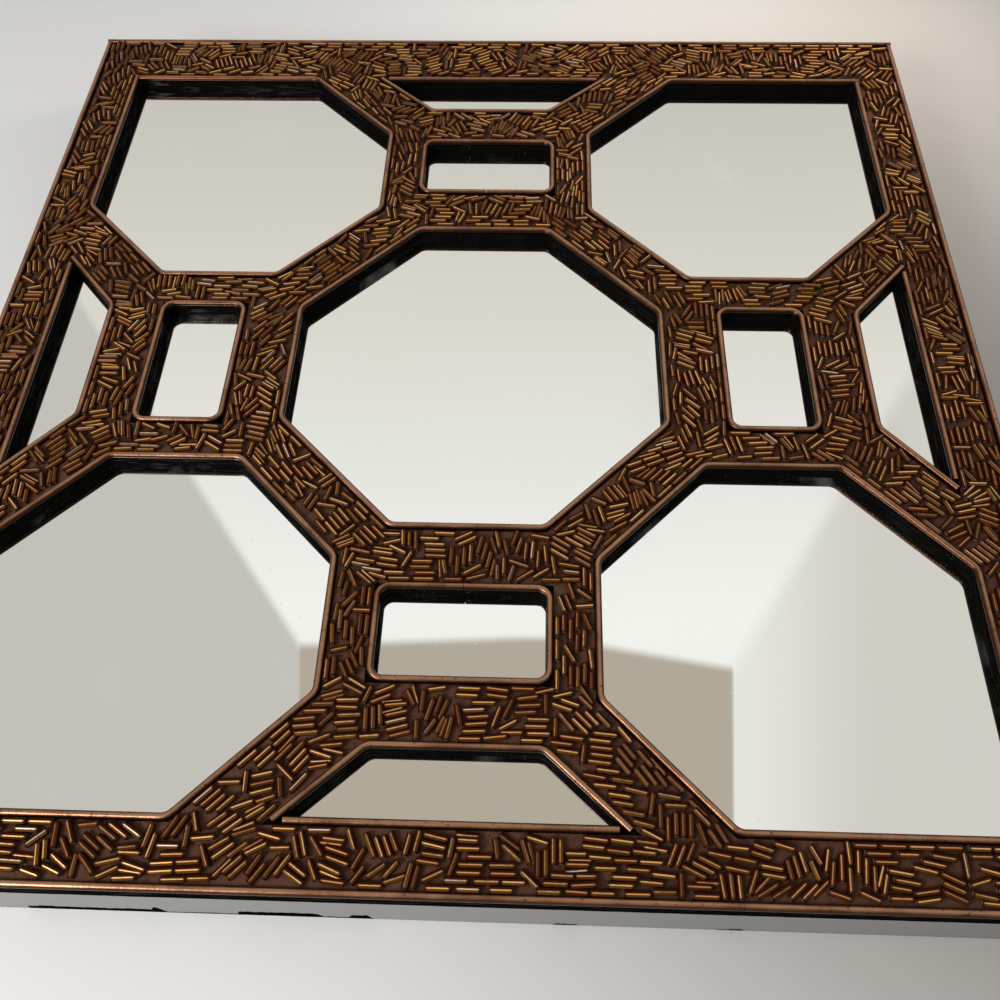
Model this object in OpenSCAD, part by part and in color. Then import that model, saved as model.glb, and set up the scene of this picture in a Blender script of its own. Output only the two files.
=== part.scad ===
// Beaded wall mirror, lying on its back with its face up.
// A thin cut board covers one mirror pane and is glued on a shallow box of four rails.
// A round wire edges each of its thirteen openings and its outline, and glass bugle
// beads fill the face between the wires.
// The origin is on the floor, at the middle of the outline. +Z comes out of the face,
// and +Y runs towards the top edge of the mirror as it hangs.

/* [Outline] */
// Width between the middles of the left and right outer wires
panel_w = 350; // [346:0.5:362]
// Width of the beaded border at the sides and the bottom, between wire middles
border_w = 18; // [16:0.5:20]
// Width of the wider beaded border at the top, between wire middles
top_border_w = 26; // [18:0.5:32]
// How far the board runs past the middle of each wire
edge_lip = 1; // [0.6:0.1:1.1]

/* [Openings] */
// Width of the middle octagon between wire middles
octagon_w = 131.4; // [124:0.1:134]
// Length of the octagon's four sides that lie along the outline
octagon_side = 49.6; // [44:0.1:54]
// Width of the beaded band between the octagon and each small window
inner_band_w = 20.9; // [18:0.1:23]
// Depth of each small window, measured outwards from the octagon
window_w = 29.9; // [26:0.1:32]
// Length of each small window
window_len = 52.6; // [46:0.1:56]
// Width of the beaded band between each small window and its trapezoid
outer_band_w = 19.3; // [17:0.1:22]
// Length of each trapezoid's short side
trapezoid_short = 49.8; // [44:0.1:54]
// Length of each trapezoid's long side
trapezoid_long = 96.6; // [90:0.1:100]
// Distance between the two corner openings at each edge
spoke_w = 81.8; // [78:0.1:86]
// How far each slanted corner of a corner opening cuts into its sides
corner_cut = 35.9; // [32:0.1:38]

/* [Wires] */
// Diameter of the round edging wire
wire_d = 2.2; // [1.8:0.1:2.4]
// Bend radius at the blunt corners, at the middle of the wire
bend_r = 5; // [3:0.5:7]
// Bend radius at the corners of the small windows, at the middle of the wire
window_bend_r = 4; // [3:0.5:6]
// Gap left where two wire ends meet
wire_gap = 0.2; // [0.1:0.05:0.5]
// Corner radius of the board where two wires meet at a point
cut_corner_r = 1; // [0.5:0.1:2]

/* [Beads] */
// Diameter of a bugle bead
bead_d = 1.9; // [1.8:0.05:2.2]
// Mean length of a bugle bead
bead_len = 6.8; // [6:0.1:7.5]
// Difference between the longest and the shortest bead
bead_len_spread = 0.9; // [0:0.1:1.5]
// Smallest gap between two beads, or between a bead and a wire
bead_gap = 0.08; // [0.08:0.01:0.3]
// Gap between the beads and the layer that they are stuck on
bead_lift = 0.05; // [0.03:0.01:0.2]
// Thickness of the painted glue layer under the beads
bed_t = 0.4; // [0.2:0.05:0.5]
// Gap between the glue layer and the nearest wire side
bed_gap = 0.1; // [0.05:0.05:0.3]

/* [Board and pane] */
// Thickness of the cut board
board_t = 4; // [3:0.5:6]
// Thickness of the mirror pane
mirror_t = 3; // [2:0.5:4]
// Thickness of the backing board behind the pane
backing_t = 3; // [2.5:0.5:4]
// Gap between the edges of the pane or backing board and the rails
pane_gap = 0.4; // [0.2:0.1:1]

/* [Box] */
// Height of the side rails
rail_h = 26.8; // [25:0.1:32]
// Thickness of the side rails
rail_t = 11; // [10:0.5:13]
// Radius of the eased outer edge at the back of the rails
rail_edge_r = 1; // [0.5:0.1:2]
// Width of the strips that hold the backing board in
strip_w = 6; // [5:0.5:8]
// Height of the strips that hold the backing board in
strip_h = 6; // [5:0.5:6.5]

/* [Hangers] */
// Distance from the middle of the outline up to the ring pivots
hanger_y = 96; // [60:1:120]
// Distance from the back of the mirror to the middle of the straps
hanger_z = 7.6; // [7.4:0.1:7.8]
// Width of a hanger strap
strap_w = 9; // [8:0.5:9.5]
// Thickness of one layer of the folded strap
strap_t = 0.8; // [0.6:0.1:0.9]
// Length of a strap from the ring pivot to its end
strap_len = 22; // [21:0.5:26]
// Diameter of the ring wire
ring_d = 2; // [1.8:0.1:2.1]
// Distance between the middles of a ring's two legs
ring_w = 11.4; // [11.2:0.1:11.6]
// Distance from a ring's pivot to the middle of its far side
ring_reach = 14; // [13:0.5:16]
// Radius of the small bends beside a ring's straight bar
ring_bend_r = 2; // [1.5:0.1:2.5]
// Gap between the ring's bar and the strap around it
ring_gap = 0.3; // [0.2:0.05:0.4]
// Diameter of the hanger screws
screw_d = 2.5; // [2:0.1:3]
// Length of a hanger screw under its head
screw_len = 9; // [6:0.5:10]
// Diameter of a hanger screw's head
screw_head_d = 5.4; // [4.5:0.1:6]
// Height of a hanger screw's head
screw_head_h = 1.3; // [1:0.1:1.4]
// Distance from the ring pivot to the nearer screw
screw_first = 8; // [7.5:0.1:9]
// Distance between the two screws of a strap
screw_pitch = 8.5; // [8:0.1:9]
// Gap between a screw and the holes that it passes through
screw_gap = 0.1; // [0.05:0.05:0.2]

/* [Hidden] */

// Colours of the pieces
lacquer = "#7c7c7a";
board_black = "#0d0b0a";
bed_brown = "#5f4137";
copper = "#a86b45";
bead_gold = "#8c5a22";
silvered = "#d5d8d6";
hardboard = "#7d5c3f";
pine = "#c49a63";
steel = "#b9b7ae";

// Half widths, measured from the middle of the octagon
half_w = panel_w / 2;
half_top = half_w + top_border_w - border_w;
opening_reach = half_w - border_w;
octagon_half = octagon_w / 2;
octagon_flat = octagon_side / 2;
window_near = octagon_half + inner_band_w;
window_far = window_near + window_w;
trapezoid_near = window_far + outer_band_w;
spoke = spoke_w / 2;
wire_r = wire_d / 2;
bead_r = bead_d / 2;

// The octagon sits below the middle of the outline, because the top border is wider
octagon_y = (half_w - half_top) / 2;
panel_h = half_w + half_top;
box_w = panel_w + 2 * edge_lip;
box_h = panel_h + 2 * edge_lip;

// Heights above the floor
board_top = rail_h + board_t;
wire_z = board_top + wire_r;
bead_z = board_top + bed_t + bead_lift + bead_r;
mirror_z = rail_h - mirror_t;
backing_z = mirror_z - backing_t;
strip_z = backing_z - strip_h;

// Outlines of the openings, anticlockwise, for the top edge or the top right corner
octagon = [
    [octagon_flat, -octagon_half], [octagon_half, -octagon_flat],
    [octagon_half, octagon_flat], [octagon_flat, octagon_half],
    [-octagon_flat, octagon_half], [-octagon_half, octagon_flat],
    [-octagon_half, -octagon_flat], [-octagon_flat, -octagon_half]
];
window = [
    [-window_len / 2, window_near], [window_len / 2, window_near],
    [window_len / 2, window_far], [-window_len / 2, window_far]
];
trapezoid = [
    [-trapezoid_short / 2, trapezoid_near], [trapezoid_short / 2, trapezoid_near],
    [trapezoid_long / 2, opening_reach], [-trapezoid_long / 2, opening_reach]
];
corner = [
    [opening_reach, opening_reach],
    [spoke + corner_cut, opening_reach], [spoke, opening_reach - corner_cut],
    [spoke, spoke + corner_cut], [spoke + corner_cut, spoke],
    [opening_reach - corner_cut, spoke], [opening_reach, spoke + corner_cut]
];
outline = [[-half_w, -half_w], [half_w, -half_w], [half_w, half_top], [-half_w, half_top]];

// Plane geometry

function heading(a, b) = (b - a) / norm(b - a);
function right_of(u) = [u.y, -u.x];
function next(i, n) = (i + 1) % n;
function before(i, n) = (i + n - 1) % n;

// Points turned anticlockwise by a number of quarter turns
function quarter(points, turns) = [
    for (p = points)
    [
        p.x * cos(90 * turns) - p.y * sin(90 * turns),
        p.x * sin(90 * turns) + p.y * cos(90 * turns)
    ]
];

// Outward normal of the side that starts at point i of an anticlockwise outline
function side_normal(points, i) = right_of(heading(points[i], points[next(i, len(points))]));

// An outline with every side moved outwards
function grown(points, by) = [
    for (i = [0 : len(points) - 1])
    let (n1 = side_normal(points, before(i, len(points))), n2 = side_normal(points, i))
    points[i] + by * (n1 + n2) / (1 + n1 * n2)
];

// An outline whose corners are round, with one radius for each point
function rounded(points, radii, steps = 6) = [
    for (i = [0 : len(points) - 1])
    let (
        n1 = side_normal(points, before(i, len(points))),
        n2 = side_normal(points, i),
        centre = points[i] - radii[i] * (n1 + n2) / (1 + n1 * n2),
        first = atan2(n1.y, n1.x),
        turn = acos(n1 * n2)
    )
    for (k = [0 : steps])
    centre + radii[i] * [cos(first + turn * k / steps), sin(first + turn * k / steps)]
];

// Bead placing. A bead is [x, y, angle, half length, x and y of its direction].

function bead(x, y, angle, half) = [x, y, angle, half, cos(angle), sin(angle)];
function along(b) = [b[4], b[5]];
function across(b) = [-b[5], b[4]];
function reach(b, n) =
    b[3] * abs(n[0] * b[4] + n[1] * b[5]) + bead_r * abs(n[1] * b[4] - n[0] * b[5]);
function some_len(pick) = (bead_len + bead_len_spread * (pick - 0.5)) / 2;

// A bound is [nx, ny, distance]: a bead stays on its near side
function bound(point, angle) = [
    cos(angle), sin(angle), point * [cos(angle), sin(angle)] - bead_gap / 2
];
function turned_bound(b, turns) = concat(quarter([[b.x, b.y]], turns)[0], [b.z]);
function within(b, bounds) = len([
    for (m = bounds) if (m[0] * b[0] + m[1] * b[1] + reach(b, m) > m[2]) 1
]) == 0;

// Corners of the box that holds a list of points
function low_of(points) = [min([for (p = points) p.x]), min([for (p = points) p.y])];
function high_of(points) = [max([for (p = points) p.x]), max([for (p = points) p.y])];

// The sides of an outline, each as a bound
function sides_of(points) = [
    for (i = [0 : len(points) - 1])
    let (n = side_normal(points, i)) [n.x, n.y, n * points[i]]
];

// A hole is [middle, radius, sides, points]
function hole_of(points) =
    let (middle = (low_of(points) + high_of(points)) / 2)
    [middle, max([for (p = points) norm(p - middle)]), sides_of(points), points];

// Whether a bead lies outside a hole
function outside(b, hole) =
    norm([b[0], b[1]] - hole[0]) > hole[1] + b[3] + bead_r
    || max([for (m = hole[2]) m[0] * b[0] + m[1] * b[1] - m[2] - reach(b, m)]) > 0
    || (
        let (offsets = [for (q = hole[3]) (q.y - b[1]) * b[4] - (q.x - b[0]) * b[5]])
        min(offsets) > bead_r || max(offsets) < -bead_r
    );

// Whether two beads lie apart, by their four side directions
function apart(a, b) =
    let (
        x = b[0] - a[0],
        y = b[1] - a[1],
        c = abs(a[4] * b[4] + a[5] * b[5]),
        s = abs(a[4] * b[5] - a[5] * b[4]),
        at_end = bead_r * s + bead_gap,
        at_side = bead_r * (1 + c) + bead_gap
    )
    abs(x * a[4] + y * a[5]) > a[3] + b[3] * c + at_end
    || abs(y * a[4] - x * a[5]) > b[3] * s + at_side
    || abs(x * b[4] + y * b[5]) > b[3] + a[3] * c + at_end
    || abs(y * b[4] - x * b[5]) > a[3] * s + at_side;

function clear_of(b, near, i = 0) =
    i >= len(near) || (apart(b, near[i]) && clear_of(b, near, i + 1));

function fits(b, near, bounds, holes) =
    clear_of(b, near)
    && within(b, bounds)
    && len([for (h = holes) if (!outside(b, h)) 1]) == 0;

// The beads that another one at a point, or a little way from it, could touch
function near_to(p, laid, travel = 0) =
    let (span = bead_len + bead_len_spread + bead_gap + travel)
    [for (b = laid) if (abs(b[0] - p[0]) < span && abs(b[1] - p[1]) < span) b];

// Whether a point is on a bead that is already laid
function covered(p, near) = len([
    for (b = near)
    let (x = p[0] - b[0], y = p[1] - b[1])
    if (abs(x * b[4] + y * b[5]) < b[3] && abs(y * b[4] - x * b[5]) < bead_r) 1
]) > 0;

// A spot is [x, y, angle, half length, number of angles to try]. Its bead is laid at
// the first angle that fits.
function first_fit(spot, near, bounds, holes, k = 0) =
    k >= spot[4] ? []
    : let (
        swing = 180 / spot[4] * ceil(k / 2) * (k % 2 == 0 ? 1 : -1),
        b = bead(spot[0], spot[1], spot[2] + swing, spot[3])
    )
    fits(b, near, bounds, holes) ? [b]
    : first_fit(spot, near, bounds, holes, k + 1);

function try_spot(spot, laid, bounds, holes) =
    let (near = near_to(spot, laid))
    covered(spot, near) ? [] : first_fit(spot, near, bounds, holes);

function lay(spots, bounds, holes, laid = [], i = 0) =
    i >= len(spots) ? laid
    : lay(spots, bounds, holes, concat(laid, try_spot(spots[i], laid, bounds, holes)), i + 1);

// Lays one bead, at the first of several spots that is free
function lay_one(spots, bounds, holes, laid, i = 0) =
    i >= len(spots) ? laid
    : let (found = try_spot(spots[i], laid, bounds, holes))
    len(found) > 0 ? concat(laid, found)
    : lay_one(spots, bounds, holes, laid, i + 1);

// Rows of beads that follow a wire, in runs with breaks between them
row_share = 0.6;
row_run = 4;
function row_spots(points, inwards, seed) = [
    for (i = [0 : len(points) - 1])
    let (
        a = points[i],
        b = points[next(i, len(points))],
        u = heading(a, b),
        off = (inwards ? -1 : 1) * (bead_r + bead_gap / 2) * right_of(u),
        step = bead_len + bead_len_spread / 2 + bead_gap,
        count = floor(norm(b - a) / step),
        pick = rands(0, 1, 3 * count + 3, seed + i)
    )
    for (k = [0 : 1 : count - 1])
    if (pick[floor(k / row_run)] < row_share)
    let (p = a + u * (k + 0.5) * step + off * (1 + 0.04 * pick[count + k]))
    [p.x, p.y, atan2(u.y, u.x) + 3 * (pick[2 * count + k] - 0.5), some_len(pick[count + k]), 1]
];

// The first bead of each cluster, at an angle of its own
cluster_pitch = 15;
function cluster_spots(low, high, seed) =
    let (
        columns = ceil((high.x - low.x) / cluster_pitch),
        rows = ceil((high.y - low.y) / cluster_pitch),
        pick = rands(0, 1, 4 * columns * rows, seed)
    )
    [
        for (c = [0 : columns - 1], r = [0 : rows - 1])
        let (
            j = 4 * (c * rows + r),
            p = low + cluster_pitch * [c + 0.2 + 0.6 * pick[j], r + 0.2 + 0.6 * pick[j + 1]]
        )
        [p.x, p.y, 180 * pick[j + 2], some_len(pick[j + 3]), 6]
    ];

// Places alongside a laid bead, which widen its cluster. Each is more staggered than
// the one before it.
staggers = [0, 1, -2, 3, -4.4];
function side_spots(b, side, seed) =
    let (
        pick = rands(0, 1, 2 * len(staggers) + 1, seed),
        edge = [b[0], b[1]] + side * (bead_d + 1.3 * bead_gap) * across(b)
    )
    [
        for (k = [0 : len(staggers) - 1])
        let (
            shift = (pick[0] < 0.5 ? 1 : -1) * staggers[k] + 0.8 * (pick[k + 1] - 0.5),
            q = edge + shift * along(b)
        )
        [q.x, q.y, b[2] + 4 * (pick[k + len(staggers)] - 0.5), some_len(pick[k + 1]), 1]
    ];

// Places against the ends of a laid bead, where a new cluster starts at another angle
end_share = 0.25;
function end_spots(b, seed) =
    let (pick = rands(0, 1, 24, seed))
    [
        for (k = [0 : 7])
        let (
            lean = pick[k] < end_share ? 90 + 12 * (pick[k + 8] - 0.5) : 20 + 140 * pick[k + 8],
            half = some_len(pick[k]),
            away = b[3] + 1.5 * bead_gap + half * abs(cos(lean)) + bead_r * abs(sin(lean)),
            q = [b[0], b[1]] + (k % 2 == 0 ? away : -away) * along(b)
                + (2 + b[3]) * (pick[k + 16] - 0.5) * across(b)
        )
        [q.x, q.y, b[2] + lean, half, 1]
    ];

// Widens the clusters of the beads from number i on, the new beads too
function widen(laid, bounds, holes, seed, i) =
    i >= len(laid) ? laid
    : let (
        one = lay_one(side_spots(laid[i], -1, seed + i), bounds, holes, laid),
        both = lay_one(side_spots(laid[i], 1, seed + i + 900), bounds, holes, one)
    )
    widen(both, bounds, holes, seed, i + 1);

// Starts clusters at the ends of each laid bead in turn, those of new beads too
function grow(laid, bounds, holes, seed, i = 0) =
    i >= len(laid) ? laid
    : grow(
        widen(
            lay(end_spots(laid[i], seed + i), bounds, holes, laid),
            bounds, holes, seed + 500, len(laid)
        ),
        bounds, holes, seed, i + 1
    );

// Single beads that fill what is left, tried at many angles
fill_step = 1.5;
fill_tries = 15;
function fill_spots(low, high, step, seed) =
    let (
        columns = ceil((high.x - low.x) / step),
        rows = ceil((high.y - low.y) / step),
        pick = rands(0, 1, 4 * columns * rows, seed)
    )
    [
        for (c = [0 : columns - 1], r = [0 : rows - 1])
        let (
            j = 4 * (c * rows + r),
            p = low + step * [c + pick[j], r + pick[j + 1]]
        )
        [p.x, p.y, 180 * pick[j + 2], some_len(pick[j + 3] - 1), fill_tries]
    ];

// Pushes a bead towards one way in small steps, each a little aside and turned, as
// far as its neighbours let it
nudges = 16;
nudge = 0.5;
nudge_turn = 9;
nudge_reach = 2;
function nudged(b, home, way, near, bounds, holes, pick, step = nudge, k = 0) =
    k >= nudges || norm([b[0], b[1]] - home) > nudge_reach - nudge ? b
    : let (
        a = step * (0.3 + 0.6 * pick[3 * k]),
        w = step * (pick[3 * k + 1] - 0.5),
        turn = nudge_turn * (pick[3 * k + 2] - 0.5),
        moved = bead(b[0] + way.x * a - way.y * w, b[1] + way.y * a + way.x * w, b[2] + turn, b[3])
    )
    fits(moved, near, bounds, holes)
    ? nudged(moved, home, way, near, bounds, holes, pick, step, k + 1)
    : nudged(b, home, way, near, bounds, holes, pick, 0.75 * step, k + 1);

// Beads in order, the furthest one way first
function ranked(laid, way) =
    len(laid) < 2 ? laid
    : let (
        keys = [for (b = laid) way * [b[0], b[1]]],
        middle = keys[floor(len(laid) / 2)]
    )
    concat(
        ranked([for (i = [0 : len(laid) - 1]) if (keys[i] > middle) laid[i]], way),
        [for (i = [0 : len(laid) - 1]) if (keys[i] == middle) laid[i]],
        ranked([for (i = [0 : len(laid) - 1]) if (keys[i] < middle) laid[i]], way)
    );

// Pushes all the beads of a ranked queue one way, the first one first
function pressed(queue, way, bounds, holes, seed, done = []) =
    len(done) >= len(queue) ? done
    : let (
        i = len(done),
        b = queue[i],
        rest = [for (j = [i + 1 : 1 : len(queue) - 1]) queue[j]],
        near = near_to(b, concat(done, rest), nudge_reach + nudge),
        pick = rands(0, 1, 3 * nudges, seed + i)
    )
    pressed(
        queue, way, bounds, holes, seed,
        concat(done, [nudged(b, [b[0], b[1]], way, near, bounds, holes, pick)])
    );

// Presses the beads together several times, and fills the room that this makes
presses = 20;
press_step = 2.6;
function settled(laid, low, high, way, useful, bounds, holes, seed, k = 0) =
    k >= presses ? laid
    : let (
        tight = pressed(ranked(laid, way), way, bounds, holes, seed + 1000 * k),
        spots = useful(fill_spots(low, high, press_step, seed + k))
    )
    settled(
        lay(spots, bounds, holes, tight),
        low, high, way, useful, bounds, holes, seed, k + 1
    );

// All the beads of one cell: a box of spots, cut by its bounds and the openings
function beads_of(low, high, bounds, openings, seed) =
    let (
        clear = wire_r + bead_gap,
        holes = [for (o = openings) hole_of(grown(o, clear))],
        frame = grown(outline, -clear),
        limits = concat(bounds, sides_of(frame)),
        rows = concat(
            row_spots(frame, true, seed),
            [for (k = [0 : len(holes) - 1]) each row_spots(holes[k][3], false, seed + 10 * k + 10)]
        ),
        beyond = function(s, m) m[0] * s[0] + m[1] * s[1] - m[2],
        useful = function(spots) [
            for (s = spots)
            if (max([for (m = limits) beyond(s, m)]) < -bead_r)
            if (min([for (h = holes) max([for (m = h[2]) beyond(s, m)])]) > bead_r)
            s
        ],
        starts = useful(concat(rows, cluster_spots(low, high, seed + 1))),
        clusters = widen(lay(starts, limits, holes), limits, holes, seed + 4, 0),
        grown_out = grow(clusters, limits, holes, seed + 3),
        way = [cos(137 * seed), sin(137 * seed)],
        tight = settled(grown_out, low, high, way, useful, limits, holes, seed + 5)
    )
    lay(useful(fill_spots(low, high, fill_step, seed + 2)), limits, holes, tight);

// The cuts between the cells, drawn for the top edge and slanted across the bands
cut_slant = 12;
window_mid = (window_near + window_far) / 2;
corner_mid = (spoke + opening_reach) / 2;
border_mid = opening_reach + border_w / 2;
diagonal_mid = (octagon_half + octagon_flat + 2 * spoke + corner_cut) / 4;
cut_middle = bound([0, window_far], -cut_slant);
cut_window = bound([0, window_mid], 90 + cut_slant);
cut_diagonal = bound([diagonal_mid, diagonal_mid], -45 + cut_slant);
cut_border_right = bound([corner_mid, border_mid], cut_slant);
cut_border_left = bound([-corner_mid, border_mid], 180 - cut_slant);
cut_octagon = bound([0, octagon_flat], -90);
function flipped(b) = [-b.x, -b.y, -b.z - bead_gap];

// Lays the beads of one cell, which is drawn for the top edge and turned into place
module bead_cell(box, bounds, openings, turns, seed) {
    place = quarter(box, turns);
    beads = beads_of(
        low_of(place), high_of(place),
        [for (b = bounds) turned_bound(b, turns)],
        [for (o = openings) quarter(o, turns)],
        seed
    );
    color(bead_gold)
        translate([0, octagon_y, bead_z])
        for (b = beads)
        translate([b.x, b.y, 0])
        rotate([0, 90, b[2]])
        cylinder(d = bead_d, h = 2 * b[3], center = true, $fn = 16);
}

module corner_beads(turns, seed) {
    bead_cell(
        [[corner_mid - 10, corner_mid - 10], [half_top, half_top]],
        [flipped(cut_border_right), flipped(turned_bound(cut_border_left, -1))],
        [corner], turns, seed
    );
}

module edge_beads(right, turns, seed) {
    x_far = corner_mid + 10;
    bead_cell(
        right
            ? [[-25, window_mid - 12], [x_far, half_top]]
            : [[-x_far, window_mid - 12], [25, half_top]],
        right
            ? [flipped(cut_middle), flipped(cut_window), cut_border_right]
            : [cut_middle, flipped(cut_window), cut_border_left],
        [window, trapezoid, right ? corner : quarter(corner, 1)], turns, seed
    );
}

module inner_beads(right, turns, seed) {
    x_far = spoke + corner_cut;
    bead_cell(
        right
            ? [[-25, octagon_flat], [x_far, window_mid + 12]]
            : [[-x_far, octagon_flat], [25, window_mid + 12]],
        right
            ? [flipped(cut_middle), cut_window, cut_octagon, cut_diagonal]
            : [cut_middle, cut_window, cut_octagon, flipped(turned_bound(cut_diagonal, 1))],
        [octagon, window, right ? corner : quarter(corner, 1)], turns, seed
    );
}

// Solid pieces shared by several nodes

// A straight length of round bar between two points of a level plane
module rod(a, b, d) {
    u = heading(a, b);
    translate([a.x, a.y, 0])
        rotate([0, 90, atan2(u.y, u.x)])
        cylinder(d = d, h = norm(b - a), $fn = 32);
}

// A bend in a round bar. It is a little thinner than the straight lengths, and it runs
// a little way into them.
bend_lap = 0.1;
bend_thinning = 0.02;
module bend(centre, radius, first, turn, d) {
    lap = asin(bend_lap / radius);
    translate([centre.x, centre.y, 0])
        rotate([0, 0, first - lap])
        rotate_extrude(angle = turn + 2 * lap, $fn = 96)
        translate([radius, 0])
        circle(d = d - bend_thinning, $fn = 32);
}

// Length that a bend takes from each of the straight lengths beside it
function bend_take(path, radii, i) =
    i == 0 || i == len(path) - 1 ? 0
    : let (
        u = heading(path[i - 1], path[i]),
        v = heading(path[i], path[i + 1])
    )
    radii[i] * tan(acos(u * v) / 2);

// A wire bent to the left at each inner point of its path
module bent_wire(path, radii, d) {
    last = len(path) - 1;
    for (i = [0 : last - 1]) {
        u = heading(path[i], path[i + 1]);
        rod(
            path[i] + u * bend_take(path, radii, i),
            path[i + 1] - u * bend_take(path, radii, i + 1),
            d
        );
    }
    for (i = [1 : 1 : last - 1]) {
        u = heading(path[i - 1], path[i]);
        v = heading(path[i], path[i + 1]);
        centre = path[i] - u * bend_take(path, radii, i) - radii[i] * right_of(u);
        bend(centre, radii[i], atan2(u.y, u.x) - 90, acos(u * v), d);
    }
}

// A bent edging wire in its place on the face
module edging(path, radii) {
    color(copper)
        translate([0, octagon_y, wire_z])
        bent_wire(path, radii, wire_d);
}

// The path of a closed wire whose ends meet on the side that starts at the last point
function seamed(points, share) =
    let (
        n = len(points),
        a = points[n - 1],
        b = points[0],
        u = heading(a, b),
        seam = a + share * (b - a)
    )
    concat([seam + u * wire_gap / 2], points, [seam - u * wire_gap / 2]);

function same(radius, count) = [for (i = [1 : count]) radius];

// Points of a list moved on by a number of places
function rolled(points, by) = [
    for (i = [0 : len(points) - 1]) points[(i + by) % len(points)]
];

module corner_wire(turns) {
    meet = [opening_reach, opening_reach];
    path = concat(
        [meet + [wire_r, 0]],
        [for (i = [1 : 6]) corner[i]],
        [meet - [0, wire_r + wire_gap]]
    );
    edging(quarter(path, turns), same(bend_r, len(path)));
}

module window_wire(turns) {
    path = seamed(rolled(window, 1), 0.5);
    edging(quarter(path, turns), same(window_bend_r, len(path)));
}

// The bent wire of a trapezoid runs into its two pointed corners
module trapezoid_wire(turns) {
    path = [trapezoid[3], trapezoid[0], trapezoid[1], trapezoid[2]];
    edging(quarter(path, turns), same(bend_r, len(path)));
}

// The straight wire on a trapezoid's long side ends where it meets the bent one
module trapezoid_base_wire(turns) {
    lean = heading(trapezoid[1], trapezoid[2]);
    short_of = (wire_r * (1 + lean.x) + wire_gap) / lean.y;
    path = [trapezoid[2] - [short_of, 0], trapezoid[3] + [short_of, 0]];
    edging(quarter(path, turns), [0, 0]);
}

// A wire along one side of the outline
module outer_wire(a, b) {
    edging([a, b], [0, 0]);
}

// Outline of a cut in the board for an opening, given with the bends of its wire
module cut(points, radii, turns) {
    polygon(quarter(rounded(grown(points, -edge_lip), radii), turns));
}

// All thirteen cuts of the board
module cuts() {
    blunt = bend_r - edge_lip;
    cut(octagon, same(blunt, 8), 0);
    for (turns = [0 : 3]) {
        cut(window, same(window_bend_r - edge_lip, 4), turns);
        cut(trapezoid, [blunt, blunt, cut_corner_r, cut_corner_r], turns);
        cut(corner, concat([cut_corner_r], same(blunt, 6)), turns);
    }
}

// Parts of the face that the wires and openings leave free
module bed_outline() {
    free = wire_r + bed_gap;
    difference() {
        polygon(grown(outline, -free));
        polygon(grown(octagon, free));
        for (turns = [0 : 3]) {
            polygon(quarter(grown(window, free), turns));
            polygon(quarter(grown(trapezoid, free), turns));
            polygon(quarter(grown(corner, free), turns));
        }
    }
}

// A mitred length whose outer face lies at y = 0, with its section eased at the back
module mitred(length, width, height, ease) {
    section = concat(
        [for (k = [0 : 5]) ease * [1 - cos(18 * k), 1 - sin(18 * k)]],
        [[width, 0], [width, height], [0, height]]
    );
    intersection() {
        rotate([90, 0, 90])
            linear_extrude(height = length, center = true)
            polygon(section);
        linear_extrude(height = height)
            polygon([
                [-length / 2, 0], [length / 2, 0],
                [length / 2 - width, width], [width - length / 2, width]
            ]);
    }
}

module side_rail(length, from_middle, angle, screws) {
    color(lacquer)
        difference() {
            rotate([0, 0, angle])
                translate([0, -from_middle, 0])
                mitred(length, rail_t, rail_h, rail_edge_r);
            if (screws != 0)
                screw_places(screws)
                cylinder(d = screw_d + 2 * screw_gap, h = 2 * hole_depth, center = true, $fn = 24);
        }
}

module retaining_strip(length, from_middle, angle) {
    color(pine)
        rotate([0, 0, angle])
        translate([0, rail_t - from_middle, strip_z])
        mitred(length - 2 * rail_t, strip_w, strip_h, 0.5);
}

// Hanger pieces. They are drawn for the right side of the mirror as it is seen from
// its face: the strap lies on the rail's inner face and runs down from the pivot.
wall_x = box_w / 2 - rail_t;
loop_r = ring_d / 2 + ring_gap + strap_t;
pivot_x = wall_x - loop_r;
hole_depth = screw_len - 2 * strap_t + 0.5;

module strap() {
    bridge = 60;
    color(steel)
        translate([pivot_x, hanger_y, hanger_z])
        difference() {
            intersection() {
                linear_extrude(height = strap_w, center = true)
                    difference() {
                        union() {
                            circle(r = loop_r, $fn = 48);
                            polygon([
                                [loop_r, 0],
                                loop_r * [-cos(bridge), -sin(bridge)],
                                [loop_r - 2 * strap_t, -2.4 * loop_r],
                                [loop_r - 2 * strap_t, -strap_len],
                                [loop_r, -strap_len]
                            ]);
                        }
                        circle(d = ring_d + 2 * ring_gap, $fn = 48);
                    }
                rotate([0, 90, 0])
                    linear_extrude(height = 3 * loop_r, center = true)
                    union() {
                        translate([-strap_w / 2, strap_w / 2 - strap_len])
                            square([strap_w, strap_len]);
                        translate([0, strap_w / 2 - strap_len])
                            circle(d = strap_w, $fn = 48);
                    }
            }
            for (k = [0 : 1])
                translate([0, -screw_first - k * screw_pitch, 0])
                rotate([0, 90, 0])
                cylinder(d = screw_d + 2 * screw_gap, h = 3 * loop_r, center = true, $fn = 24);
        }
}

// A ring bent from one bar, whose ends meet inside the strap
module ring() {
    half = ring_w / 2;
    arc_y = ring_reach - half;
    color(steel)
        translate([pivot_x, hanger_y, hanger_z])
        rotate([0, -90, 0]) {
            bend([0, arc_y], half, 0, 180, ring_d);
            for (side = [-1, 1]) {
                inner = side * (half - ring_bend_r);
                rod([side * half, arc_y], [side * half, ring_bend_r], ring_d);
                bend([inner, ring_bend_r], ring_bend_r, side > 0 ? -90 : 180, 90, ring_d);
                rod([inner, 0], [side * wire_gap / 2, 0], ring_d);
            }
        }
}

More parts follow.
